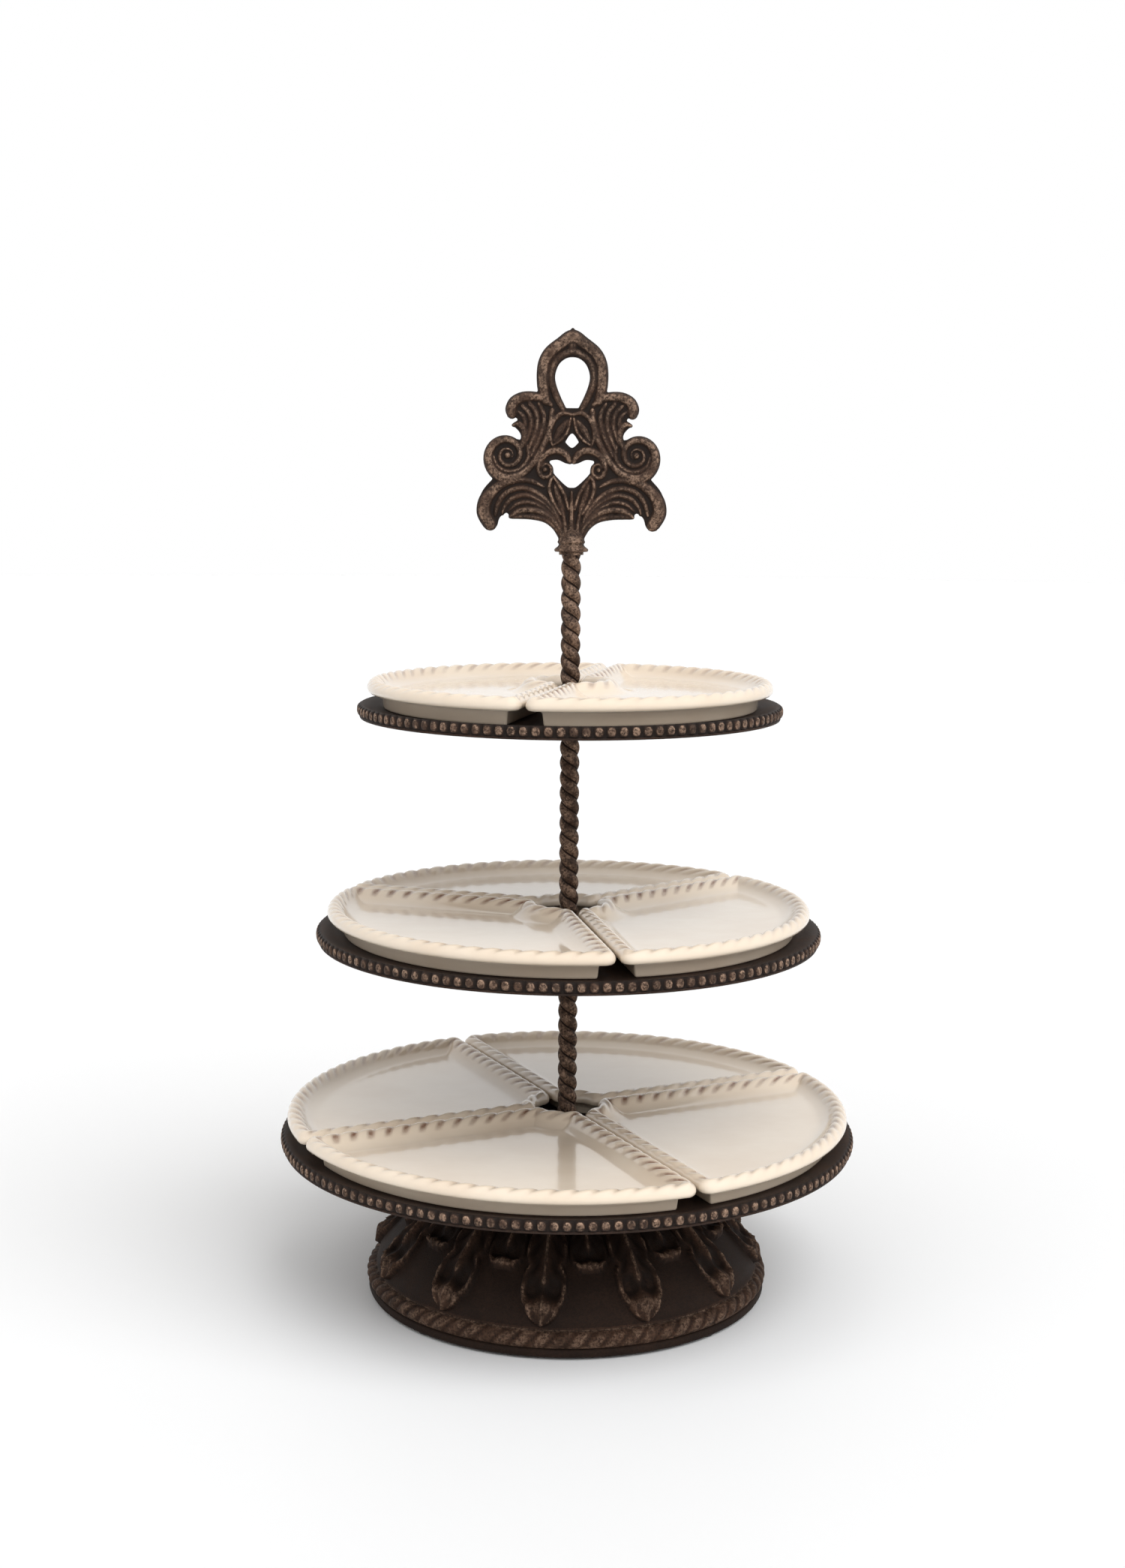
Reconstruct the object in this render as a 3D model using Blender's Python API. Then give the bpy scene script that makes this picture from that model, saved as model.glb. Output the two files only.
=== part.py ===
# Three-tier serving stand: a cast metal pedestal, three beaded metal trays on a
# rope-twist rod, nine ceramic wedge dishes that lift off, and a cast scroll handle
# that unscrews. Metres, +Z up, origin at the centre of the footprint, front on -Y.

import math

import bmesh
import bpy

MM = 0.001

# fits
GAP = 0.3 * MM                  # air between two pieces that touch
THREAD_GAP = 0.3 * MM           # radial air round each bolt and stud

# felt pads
PAD_RADIUS = 9.0 * MM
PAD_HEIGHT = 2.0 * MM
PAD_COUNT = 4

# pedestal
BASE_RADIUS = 161.0 * MM        # widest, at the rope moulding
BASE_HEIGHT = 124.05 * MM       # underside of the ring to the tray seat
BASE_SEAT_RADIUS = 58.0 * MM
BASE_SEAT_THICKNESS = 7.0 * MM
BASE_WALL = 5.0 * MM
BASE_RING_WIDTH = 22.0 * MM
BASE_RING_HEIGHT = 8.0 * MM

# trays
BOTTOM_TRAY_RADIUS = 228.6 * MM
MIDDLE_TRAY_RADIUS = 199.3 * MM
TOP_TRAY_RADIUS = 166.2 * MM
TRAY_FLOOR = 3.0 * MM
TRAY_RIM_HEIGHT = 10.3 * MM
TRAY_RIM_WIDTH = 9.0 * MM
TRAY_RIM_RISE = 3.0 * MM        # rim top above the tray floor

# rods
ROD_RADIUS = 7.75 * MM          # over the crests of the strands
ROD_GROOVE = 1.3 * MM
ROD_LEAD = 24.0 * MM            # one full turn of a strand
ROD_STRANDS = 2
LOWER_ROD_LENGTH = 160.0 * MM
MIDDLE_ROD_LENGTH = 173.0 * MM
UPPER_ROD_LENGTH = 117.65 * MM
ROD_FOOT_RADIUS = 9.3 * MM      # flare where a rod stands on its tray
ROD_FOOT_HEIGHT = 6.0 * MM

# bolt, studs, washers
BOLT_RADIUS = 4.0 * MM
BOLT_ENGAGEMENT = 14.0 * MM     # length held in each rod
BOLT_HEAD_RADIUS = 7.5 * MM
BOLT_HEAD_HEIGHT = 5.3 * MM
BASE_WASHER_RADIUS = 12.0 * MM
BASE_WASHER_THICKNESS = 1.6 * MM
HANDLE_WASHER_RADIUS = 9.5 * MM
HANDLE_WASHER_THICKNESS = 2.0 * MM
HANDLE_ENGAGEMENT = 12.2 * MM   # length of stud inside the handle

# dishes
DISH_TO_TRAY = 5.35 * MM        # dish edge inside the tray edge, bottom tier
MIDDLE_DISH_TO_TRAY = 9.0 * MM
TOP_DISH_TO_TRAY = 8.0 * MM
DISH_SEAM = 3.0 * MM            # air between neighbouring dishes
DISH_NOTCH_RADIUS = 25.0 * MM   # hollow round the rod
DISH_CORNER = 9.0 * MM
DISH_FOOT_HEIGHT = 10.5 * MM
DISH_FOOT_INSET = 12.0 * MM
DISH_FOOT_TAPER = 1.5 * MM       # how far the foot leans out to its top
DISH_FOOT_WIDTH = 6.0 * MM
DISH_RIM_THICKNESS = 11.5 * MM
DISH_RIM_WIDTH = 14.0 * MM
DISH_SLOPE_WIDTH = 11.0 * MM
DISH_WELL_DEPTH = 10.5 * MM
DISH_WALL = 6.0 * MM
BOTTOM_DISHES = 4
MIDDLE_DISHES = 3
TOP_DISHES = 2
BOTTOM_SEAM_ANGLE = -64.5       # degrees from +X to the first seam
MIDDLE_SEAM_ANGLE = -79.0
TOP_SEAM_ANGLE = -103.0

# handle
HANDLE_THICKNESS = 12.0 * MM
HANDLE_EDGE = 1.6 * MM
COLLAR_RADIUS = 13.0 * MM
COLLAR_NECK_RADIUS = 10.4 * MM
COLLAR_HEIGHT = 8.5 * MM

ROUND_STEPS = 40
SMALL_STEPS = 16
ROD_POINTS_PER_STRAND = 5

# heights of the stack, each from the piece below it
BASE_UNDERSIDE = PAD_HEIGHT + GAP
BASE_SEAT = BASE_UNDERSIDE + BASE_HEIGHT
BOTTOM_FLOOR = BASE_SEAT + GAP + TRAY_FLOOR
LOWER_ROD_FOOT = BOTTOM_FLOOR + GAP
MIDDLE_FLOOR = LOWER_ROD_FOOT + LOWER_ROD_LENGTH + GAP + TRAY_FLOOR
MIDDLE_ROD_FOOT = MIDDLE_FLOOR + GAP
TOP_FLOOR = MIDDLE_ROD_FOOT + MIDDLE_ROD_LENGTH + GAP + TRAY_FLOOR
UPPER_ROD_FOOT = TOP_FLOOR + GAP
UPPER_ROD_TOP = UPPER_ROD_FOOT + UPPER_ROD_LENGTH
HANDLE_WASHER_FOOT = UPPER_ROD_TOP + GAP
HANDLE_FOOT = HANDLE_WASHER_FOOT + HANDLE_WASHER_THICKNESS + GAP

BORE_RADIUS = BOLT_RADIUS + THREAD_GAP

# Half outline of the handle in mm: distance from the axis, height above the collar's
# underside, and 1 where the edge has a point.
HANDLE_OUTLINE = (
    (9.6, 8.0, 1), (9.4, 11.5, 0), (14.4, 19.5, 0), (24.4, 25.3, 0), (35.6, 25.6, 0),
    (48.0, 24.6, 1), (50.0, 29.6, 0), (55.4, 26.0, 0), (56.6, 19.2, 0), (61.5, 14.8, 0),
    (69.4, 20.1, 0), (73.2, 33.7, 0), (70.0, 46.4, 0), (60.0, 57.2, 1), (65.2, 64.0, 0),
    (66.9, 73.3, 0), (62.4, 83.8, 0), (52.5, 88.6, 0), (44.0, 87.2, 0), (38.4, 85.0, 1),
    (40.4, 91.0, 0), (46.2, 96.1, 1), (42.8, 99.8, 0), (43.9, 101.7, 1), (49.7, 102.0, 0),
    (51.2, 107.0, 0), (50.3, 112.5, 0), (44.4, 119.0, 0), (36.3, 122.1, 0),
    (25.3, 122.4, 1), (27.0, 136.2, 0), (25.6, 146.5, 0), (20.0, 155.6, 0),
    (8.1, 163.9, 0), (0.0, 170.0, 1),
)
# Half outlines of the three windows, from the bottom of each to its top.
LOOP_WINDOW = ((0.0, 109.6, 1), (6.2, 109.6, 1), (11.3, 120.8, 0), (13.6, 132.0, 0),
               (10.8, 141.8, 0), (0.0, 148.0, 0))
DIAMOND_WINDOW = ((0.0, 79.4, 1), (5.3, 83.8, 0), (0.0, 90.5, 1))
HEART_WINDOW = ((0.0, 49.1, 0), (4.6, 50.6, 0), (14.6, 60.9, 0), (17.4, 69.6, 0),
                (10.8, 70.2, 0), (4.0, 67.4, 0), (0.0, 68.4, 1))
OUTLINE_STEPS = 2               # pieces between two outline points


def clear_scene():
    for old in list(bpy.data.objects):
        bpy.data.objects.remove(old)


def make_material(name, colour, roughness, metallic):
    material = bpy.data.materials.new(name)
    material.use_nodes = True
    shader = material.node_tree.nodes["Principled BSDF"]
    shader.inputs["Base Color"].default_value = (*colour, 1.0)
    shader.inputs["Roughness"].default_value = roughness
    shader.inputs["Metallic"].default_value = metallic
    return material


def finish(name, mesh, material, smooth_angle=35.0):
    # closes a bmesh into a named object with outward faces
    bmesh.ops.remove_doubles(mesh, verts=mesh.verts, dist=0.001 * MM)
    bmesh.ops.recalc_face_normals(mesh, faces=mesh.faces)
    data = bpy.data.meshes.new(name)
    mesh.to_mesh(data)
    mesh.free()
    data.shade_smooth()
    data.set_sharp_from_angle(angle=math.radians(smooth_angle))
    data.materials.append(material)
    piece = bpy.data.objects.new(name, data)
    bpy.context.scene.collection.objects.link(piece)
    return piece


def turned(name, profile, steps, material):
    # revolves a closed profile of (radius, height) points about Z
    mesh = bmesh.new()
    verts = [mesh.verts.new((radius, 0.0, height)) for radius, height in profile]
    edges = [mesh.edges.new((verts[i - 1], verts[i])) for i in range(len(verts))]
    bmesh.ops.spin(mesh, geom=verts + edges, axis=(0, 0, 1), cent=(0, 0, 0),
                   angle=math.tau, steps=steps, use_merge=True)
    return finish(name, mesh, material)


def skinned(name, rings, material, smooth_angle=35.0):
    # walls between rings of equal point counts, with a face across each end
    mesh = bmesh.new()
    rows = [[mesh.verts.new(point) for point in ring] for ring in rings]
    count = len(rows[0])
    for lower, upper in zip(rows, rows[1:]):
        for i in range(count):
            j = (i + 1) % count
            mesh.faces.new((lower[i], lower[j], upper[j], upper[i]))
    mesh.faces.new(list(reversed(rows[0])))
    mesh.faces.new(rows[-1])
    return finish(name, mesh, material, smooth_angle)


def circle(radius, height, count):
    return [(radius * math.cos(math.tau * i / count),
             radius * math.sin(math.tau * i / count), height) for i in range(count)]


def polar(radius, angle):
    return radius * math.cos(angle), radius * math.sin(angle)


# pedestal, pads and fasteners

def base_pedestal(material):
    # bell with an S-shaped wall, a plain foot ring and a flat seat for the tray
    low = BASE_UNDERSIDE
    seat = BASE_SEAT
    neck = BASE_SEAT_RADIUS
    spread = BASE_RADIUS - neck
    rise = BASE_HEIGHT
    outer = [(neck + spread * along, low + rise * up) for along, up in (
        (0.970, 0.0), (1.0, 0.062), (0.942, 0.186), (0.796, 0.36), (0.60, 0.51),
        (0.36, 0.67), (0.12, 0.83))]
    inner_bend = [(radius - BASE_WALL, height - BASE_WALL * 0.6)
                  for radius, height in outer[3:7]]
    ring = outer[0][0] - BASE_RING_WIDTH
    ceiling = seat - BASE_SEAT_THICKNESS
    profile = outer + [(neck, seat), (BORE_RADIUS, seat), (BORE_RADIUS, ceiling),
                       (neck - BASE_WALL * 1.6, ceiling)]
    profile += list(reversed(inner_bend[:-1]))
    profile += [(ring, low + BASE_RING_HEIGHT + BASE_WALL), (ring, low)]
    return turned("base_pedestal", profile, ROUND_STEPS, material)


def foot_pads(material):
    radius = BASE_SEAT_RADIUS + (BASE_RADIUS - BASE_SEAT_RADIUS) * 0.970
    radius -= BASE_RING_WIDTH / 2
    pads = []
    for i in range(PAD_COUNT):
        x, y = polar(radius, math.tau * (i + 0.5) / PAD_COUNT)
        rings = [circle(PAD_RADIUS, 0.0, SMALL_STEPS), circle(PAD_RADIUS, PAD_HEIGHT, SMALL_STEPS)]
        pad = skinned(f"foot_pad_{i + 1}", rings, material)
        pad.location = (x, y, 0.0)
        pads.append(pad)
    return pads


def washer(name, foot, radius, thickness, material):
    profile = [(BORE_RADIUS, foot), (radius, foot), (radius, foot + thickness),
               (BORE_RADIUS, foot + thickness)]
    return turned(name, profile, 2 * SMALL_STEPS, material)


def base_bolt(washer_foot, material):
    # hexagon head under the washer, shank up into the lower rod
    head_top = washer_foot - GAP
    head_foot = head_top - BOLT_HEAD_HEIGHT
    tip = LOWER_ROD_FOOT + BOLT_ENGAGEMENT
    count = 12
    hexagon = []
    for i in range(count):
        angle = math.tau * i / count
        reach = BOLT_HEAD_RADIUS if i % 2 == 0 else BOLT_HEAD_RADIUS * math.cos(math.pi / 6)
        hexagon.append((*polar(reach, angle), 0.0))
    rings = [[(x, y, head_foot) for x, y, _ in hexagon],
             [(x, y, head_top) for x, y, _ in hexagon],
             circle(BOLT_RADIUS, head_top, count),
             circle(BOLT_RADIUS, tip, count)]
    return skinned("base_bolt", rings, material)


def stud(name, foot, tip, material):
    rings = [circle(BOLT_RADIUS, foot, 12), circle(BOLT_RADIUS, tip, 12)]
    return skinned(name, rings, material)


# rods

def rope_ring(height, phase, count, swell):
    # one section of the strands; the crests turn left-handed as the height grows
    points = []
    for i in range(count):
        angle = math.tau * i / count
        lobe = abs(math.cos(ROD_STRANDS * (angle + phase) / 2))
        radius = ROD_RADIUS - ROD_GROOVE * (1 - lobe) + swell
        points.append((*polar(radius, angle), height))
    return points


def rope_rod(name, foot, length, material):
    # twisted rod with a flared foot and a blind tapped hole in each end
    count = ROD_STRANDS * ROD_POINTS_PER_STRAND
    steps = max(2, round(length / (ROD_LEAD / count)))
    bore = BORE_RADIUS / math.cos(math.pi / count)
    depth = BOLT_ENGAGEMENT + 1.0 * MM
    rings = [circle(bore, foot + depth, count), circle(bore, foot, count)]
    for i in range(steps + 1):
        rise = length * i / steps
        flare = max(0.0, 1 - rise / ROD_FOOT_HEIGHT)
        swell = (ROD_FOOT_RADIUS - ROD_RADIUS) * flare ** 2
        phase = math.tau * rise / ROD_LEAD
        rings.append(rope_ring(foot + rise, phase, count, swell))
    rings += [circle(bore, foot + length, count), circle(bore, foot + length - depth, count)]
    return skinned(name, rings, material, 60.0)


# trays

def tray(name, radius, floor, material):
    # flat disc with a raised, rounded outer band and a centre hole
    under = floor - TRAY_FLOOR
    top = floor + TRAY_RIM_RISE
    low = top - TRAY_RIM_HEIGHT
    inner = radius - TRAY_RIM_WIDTH
    round_off = TRAY_RIM_WIDTH / 4
    profile = [(BORE_RADIUS, under), (BORE_RADIUS, floor), (inner - round_off, floor),
               (inner + round_off, top), (radius - round_off, top),
               (radius, top - TRAY_RIM_HEIGHT * 0.3), (radius, low + TRAY_RIM_HEIGHT * 0.3),
               (radius - round_off, low), (inner, under)]
    return turned(name, profile, ROUND_STEPS, material)


# dishes

def arc(centre, radius, start, turn, count):
    return [(centre[0] + radius * math.cos(start + turn * i / count),
             centre[1] + radius * math.sin(start + turn * i / count))
            for i in range(count + 1)]


def wedge_outline(radius, dish_count, inset):
    # Plan of one dish about +X: two straight edges set back from its seams, an outer
    # arc, a hollow round the rod and four rounded corners, all moved in by the inset.
    half = math.pi / dish_count
    edge = DISH_SEAM / 2 + inset
    outer = radius - inset
    notch = DISH_NOTCH_RADIUS + inset
    corner = max(DISH_CORNER - inset, 1.5 * MM)
    far = outer - corner
    far_angle = half - math.asin((edge + corner) / far)
    far_centre = polar(far, far_angle)
    near = notch + corner
    near_angle = half - math.asin((edge + corner) / near)
    near_centre = polar(near, near_angle)
    arc_steps = max(8, round(24 / dish_count))
    upper = arc(far_centre, corner, far_angle, half + math.pi / 2 - far_angle, 3)
    upper += arc(near_centre, corner, half + math.pi / 2,
                 near_angle + math.pi - half - math.pi / 2, 3)
    hollow = [polar(notch, near_angle * (1 - 2 * i / 6)) for i in range(1, 6)]
    lower = [(x, -y) for x, y in reversed(upper)]
    rim = [polar(outer, far_angle * (2 * i / arc_steps - 1)) for i in range(1, arc_steps)]
    return upper + hollow + lower + rim


def dish(name, radius, dish_count, centre_angle, floor, material):
    # foot ring, hollow underside, overhanging rim and a flat well
    crest = DISH_FOOT_HEIGHT + DISH_RIM_THICKNESS
    well = crest - DISH_WELL_DEPTH
    flank = DISH_RIM_THICKNESS
    well_inset = DISH_RIM_WIDTH + DISH_SLOPE_WIDTH
    steps = (
        (DISH_FOOT_INSET + DISH_FOOT_WIDTH, well - DISH_WALL),
        (DISH_FOOT_INSET + DISH_FOOT_WIDTH, 0.0),
        (DISH_FOOT_INSET, 0.0),
        (DISH_FOOT_INSET - DISH_FOOT_TAPER, DISH_FOOT_HEIGHT - 0.5 * MM),
        (0.12 * DISH_RIM_WIDTH, DISH_FOOT_HEIGHT),
        (0.0, DISH_FOOT_HEIGHT + 0.35 * flank),
        (0.14 * DISH_RIM_WIDTH, DISH_FOOT_HEIGHT + 0.82 * flank),
        (0.40 * DISH_RIM_WIDTH, crest),
        (DISH_RIM_WIDTH, crest - 0.25 * flank),
        (well_inset, well),
    )
    foot = floor + GAP
    rings = [[(x, y, foot + height) for x, y in wedge_outline(radius, dish_count, inset)]
             for inset, height in steps]
    piece = skinned(name, rings, material, 50.0)
    piece.rotation_euler = (0.0, 0.0, math.radians(centre_angle))
    return piece


def dish_tier(prefix, radius, dish_count, seam_angle, floor, material):
    pitch = 360.0 / dish_count
    return [dish(f"{prefix}_dish_{i + 1}", radius, dish_count, seam_angle + pitch * (i + 0.5),
                 floor, material) for i in range(dish_count)]


# handle

def eased(points, steps):
    # Catmull-Rom through the points; a marked point keeps its corner
    curve = []
    for i in range(len(points) - 1):
        start, end = points[i], points[i + 1]
        before = start if start[2] or i == 0 else points[i - 1]
        after = end if end[2] or i + 2 >= len(points) else points[i + 2]
        for k in range(steps):
            t = k / steps
            place = []
            for axis in (0, 1):
                p0, p1, p2, p3 = before[axis], start[axis], end[axis], after[axis]
                place.append(0.5 * (2 * p1 + (p2 - p0) * t + (2 * p0 - 5 * p1 + 4 * p2 - p3) * t * t
                                    + (3 * p1 - p0 - 3 * p2 + p3) * t ** 3))
            curve.append(tuple(place))
    curve.append((points[-1][0], points[-1][1]))
    return curve


def mirrored_loop(half):
    # closes a half outline that starts and ends on or near the axis
    other = [(-x, z) for x, z in reversed(half) if x > 0.01]
    return half + other


def plate_faces(mesh, loops):
    edges = []
    for loop in loops:
        verts = [mesh.verts.new((x * MM, 0.0, z * MM)) for x, z in loop]
        edges += [mesh.edges.new((verts[i - 1], verts[i])) for i in range(len(verts))]
    filled = bmesh.ops.triangle_fill(mesh, edges=edges, use_beauty=True, use_dissolve=False)
    return [item for item in filled["geom"] if isinstance(item, bmesh.types.BMFace)]


def handle_plate(material):
    outline = mirrored_loop(eased(HANDLE_OUTLINE, OUTLINE_STEPS))
    windows = [mirrored_loop(eased(window, OUTLINE_STEPS))
               for window in (LOOP_WINDOW, DIAMOND_WINDOW, HEART_WINDOW)]
    mesh = bmesh.new()
    faces = plate_faces(mesh, [outline] + windows)
    grown = bmesh.ops.extrude_face_region(mesh, geom=faces)
    moved = [item for item in grown["geom"] if isinstance(item, bmesh.types.BMVert)]
    bmesh.ops.translate(mesh, verts=moved, vec=(0.0, HANDLE_THICKNESS, 0.0))
    bmesh.ops.translate(mesh, verts=mesh.verts, vec=(0.0, -HANDLE_THICKNESS / 2, 0.0))
    return finish("handle", mesh, material)


def hidden_cutter(name, profile, steps, material, parent):
    cutter = turned(name, profile, steps, material)
    cutter.hide_render = True
    cutter.display_type = "WIRE"
    cutter.parent = parent
    return cutter


def boolean(piece, cutter, operation):
    cut = piece.modifiers.new(operation.title(), "BOOLEAN")
    cut.operation = operation
    cut.object = cutter


def handle(material):
    # pierced scroll plate, a flared collar and a blind tapped hole up its stem
    plate = handle_plate(material)
    edge = plate.modifiers.new("Edge", "BEVEL")
    edge.width = HANDLE_EDGE
    edge.segments = 1
    edge.limit_method = "ANGLE"
    edge.angle_limit = math.radians(80.0)
    core = 1.0 * MM
    collar_profile = [(core, 0.0), (COLLAR_RADIUS, 0.0), (COLLAR_RADIUS, 1.6 * MM),
                      (COLLAR_RADIUS - 1.2 * MM, COLLAR_HEIGHT - 2.2 * MM),
                      (COLLAR_NECK_RADIUS + 0.6 * MM, COLLAR_HEIGHT - 1.4 * MM),
                      (COLLAR_NECK_RADIUS, COLLAR_HEIGHT), (core, COLLAR_HEIGHT)]
    collar = hidden_cutter("handle_collar_guide", collar_profile, 2 * SMALL_STEPS, material, plate)
    stem_height = HANDLE_ENGAGEMENT + 8.0 * MM
    stem_radius = HANDLE_THICKNESS / 2 + 0.6 * MM
    stem_profile = [(core / 2, COLLAR_HEIGHT / 2), (stem_radius, COLLAR_HEIGHT / 2),
                    (stem_radius, stem_height - 3 * MM), (stem_radius - 2 * MM, stem_height),
                    (core / 2, stem_height)]
    stem = hidden_cutter("handle_stem_guide", stem_profile, SMALL_STEPS, material, plate)
    bore = skinned("handle_bore_guide",
                   [circle(BORE_RADIUS, -1.0 * MM, 12),
                    circle(BORE_RADIUS, HANDLE_ENGAGEMENT + 1.5 * MM, 12)], material)
    bore.hide_render = True
    bore.display_type = "WIRE"
    bore.parent = plate
    boolean(plate, collar, "UNION")
    boolean(plate, stem, "UNION")
    boolean(plate, bore, "DIFFERENCE")
    plate.location = (0.0, 0.0, HANDLE_FOOT)
    return plate


def build():
    clear_scene()
    cast_metal = make_material("cast_metal", (0.070, 0.042, 0.028), 0.55, 0.6)
    steel = make_material("zinc_steel", (0.42, 0.41, 0.39), 0.4, 1.0)
    felt = make_material("felt", (0.03, 0.028, 0.026), 0.95, 0.0)
    glaze = make_material("cream_glaze", (0.79, 0.70, 0.57), 0.18, 0.0)

    base_pedestal(cast_metal)
    foot_pads(felt)
    washer_foot = BASE_SEAT - BASE_SEAT_THICKNESS - GAP - BASE_WASHER_THICKNESS
    washer("base_washer", washer_foot, BASE_WASHER_RADIUS, BASE_WASHER_THICKNESS, steel)
    base_bolt(washer_foot, steel)

    tray("bottom_tray", BOTTOM_TRAY_RADIUS, BOTTOM_FLOOR, cast_metal)
    tray("middle_tray", MIDDLE_TRAY_RADIUS, MIDDLE_FLOOR, cast_metal)
    tray("top_tray", TOP_TRAY_RADIUS, TOP_FLOOR, cast_metal)

    rope_rod("lower_rod", LOWER_ROD_FOOT, LOWER_ROD_LENGTH, cast_metal)
    rope_rod("middle_rod", MIDDLE_ROD_FOOT, MIDDLE_ROD_LENGTH, cast_metal)
    rope_rod("upper_rod", UPPER_ROD_FOOT, UPPER_ROD_LENGTH, cast_metal)

    stud("middle_tray_stud", MIDDLE_FLOOR - TRAY_FLOOR - GAP - BOLT_ENGAGEMENT,
         MIDDLE_ROD_FOOT + BOLT_ENGAGEMENT, steel)
    stud("top_tray_stud", TOP_FLOOR - TRAY_FLOOR - GAP - BOLT_ENGAGEMENT,
         UPPER_ROD_FOOT + BOLT_ENGAGEMENT, steel)
    stud("handle_stud", UPPER_ROD_TOP - BOLT_ENGAGEMENT, HANDLE_FOOT + HANDLE_ENGAGEMENT, steel)
    washer("handle_washer", HANDLE_WASHER_FOOT, HANDLE_WASHER_RADIUS,
           HANDLE_WASHER_THICKNESS, cast_metal)
    handle(cast_metal)

    dish_tier("bottom", BOTTOM_TRAY_RADIUS - DISH_TO_TRAY, BOTTOM_DISHES,
              BOTTOM_SEAM_ANGLE, BOTTOM_FLOOR, glaze)
    dish_tier("middle", MIDDLE_TRAY_RADIUS - MIDDLE_DISH_TO_TRAY, MIDDLE_DISHES,
              MIDDLE_SEAM_ANGLE, MIDDLE_FLOOR, glaze)
    dish_tier("top", TOP_TRAY_RADIUS - TOP_DISH_TO_TRAY, TOP_DISHES,
              TOP_SEAM_ANGLE, TOP_FLOOR, glaze)


build()
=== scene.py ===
import math
import bmesh
import bpy
import numpy as np
from mathutils import Matrix, Vector


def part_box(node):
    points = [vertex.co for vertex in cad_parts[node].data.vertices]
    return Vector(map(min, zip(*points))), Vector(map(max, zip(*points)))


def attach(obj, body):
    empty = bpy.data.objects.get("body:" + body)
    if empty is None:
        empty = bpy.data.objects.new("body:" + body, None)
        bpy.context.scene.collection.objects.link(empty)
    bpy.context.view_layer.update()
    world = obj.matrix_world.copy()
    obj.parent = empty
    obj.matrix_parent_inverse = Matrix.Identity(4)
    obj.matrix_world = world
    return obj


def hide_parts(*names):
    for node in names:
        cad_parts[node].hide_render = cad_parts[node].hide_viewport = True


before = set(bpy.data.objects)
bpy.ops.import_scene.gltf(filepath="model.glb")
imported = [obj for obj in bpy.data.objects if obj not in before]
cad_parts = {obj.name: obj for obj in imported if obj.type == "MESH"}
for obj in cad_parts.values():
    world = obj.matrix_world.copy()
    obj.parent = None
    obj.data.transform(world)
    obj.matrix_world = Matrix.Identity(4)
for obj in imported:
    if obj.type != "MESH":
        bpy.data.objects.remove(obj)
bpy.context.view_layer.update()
mm = 0.001
fullTurn = 2 * math.pi


# working habits

def clearSelection():
    if bpy.context.mode != "OBJECT":
        bpy.ops.object.mode_set(mode="OBJECT")
    bpy.ops.object.select_all(action="DESELECT")


def pickUp(piece):
    clearSelection()
    piece.select_set(True)
    bpy.context.view_layer.objects.active = piece


def applyAll(piece):
    pickUp(piece)
    for modifier in list(piece.modifiers):
        bpy.ops.object.modifier_apply(modifier=modifier.name)


def selectPoints(piece, wanted):
    # edit mode: selects the points for which wanted(place) is true
    mesh = bmesh.from_edit_mesh(piece.data)
    bpy.ops.mesh.select_mode(type="VERT")
    for point in mesh.verts:
        point.select_set(wanted(point.co))
    mesh.select_flush_mode()
    bmesh.update_edit_mesh(piece.data)


def drawLine(name, points, closed=False):
    # a plane merged to one point, which is then extruded from place to place
    clearSelection()
    bpy.ops.mesh.primitive_plane_add(size=mm)
    line = bpy.context.object
    line.name = name
    bpy.ops.object.mode_set(mode="EDIT")
    bpy.ops.mesh.merge(type="CENTER")
    bpy.ops.transform.translate(value=points[0])
    for start, end in zip(points, points[1:]):
        step = Vector(end) - Vector(start)
        bpy.ops.mesh.extrude_region_move(TRANSFORM_OT_translate={"value": step})
    if closed:
        first, last = Vector(points[0]), Vector(points[-1])
        selectPoints(line, lambda place: min((place - first).length, (place - last).length) < 1e-6)
        bpy.ops.mesh.edge_face_add()
    bpy.ops.mesh.select_all(action="SELECT")
    return line


def tidyFaces(piece, distance=1e-6):
    bpy.ops.object.mode_set(mode="EDIT")
    bpy.ops.mesh.select_all(action="SELECT")
    bpy.ops.mesh.remove_doubles(threshold=distance)
    bpy.ops.mesh.normals_make_consistent(inside=False)
    bpy.ops.object.mode_set(mode="OBJECT")


def turnProfile(name, profile, steps, angle=fullTurn):
    # profile of (radius, height) turned about the stand's axis
    piece = drawLine(name, [(radius, 0, height) for radius, height in profile], closed=True)
    bpy.ops.mesh.spin(steps=steps, angle=-angle, center=(0, 0, 0), axis=(0, 0, 1))
    tidyFaces(piece)
    return piece


def repeatAround(piece, count):
    clearSelection()
    bpy.ops.object.empty_add()
    turner = bpy.context.object
    turner.rotation_euler.z = fullTurn / count
    array = piece.modifiers.new("Around", "ARRAY")
    array.count = count
    array.use_relative_offset = False
    array.use_object_offset = True
    array.offset_object = turner
    array.use_merge_vertices = True
    array.use_merge_vertices_cap = True
    array.merge_threshold = 2e-5
    applyAll(piece)
    bpy.data.objects.remove(turner)
    tidyFaces(piece)


def readPoints(piece):
    flat = np.empty(len(piece.data.vertices) * 3, np.float32)
    piece.data.vertices.foreach_get("co", flat)
    return flat.reshape(-1, 3).astype(float)


def writePoints(piece, places):
    piece.data.vertices.foreach_set("co", np.asarray(places, np.float32).ravel())
    piece.data.update()


def markPoints(piece, name, values):
    # one number for each point, which a material reads by its name
    mark = piece.data.attributes.new(name, "FLOAT", "POINT")
    mark.data.foreach_set("value", np.asarray(values, np.float32))


def copyPiece(piece, name):
    pickUp(piece)
    bpy.ops.object.duplicate()
    twin = bpy.context.object
    twin.name = name
    return twin


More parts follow.
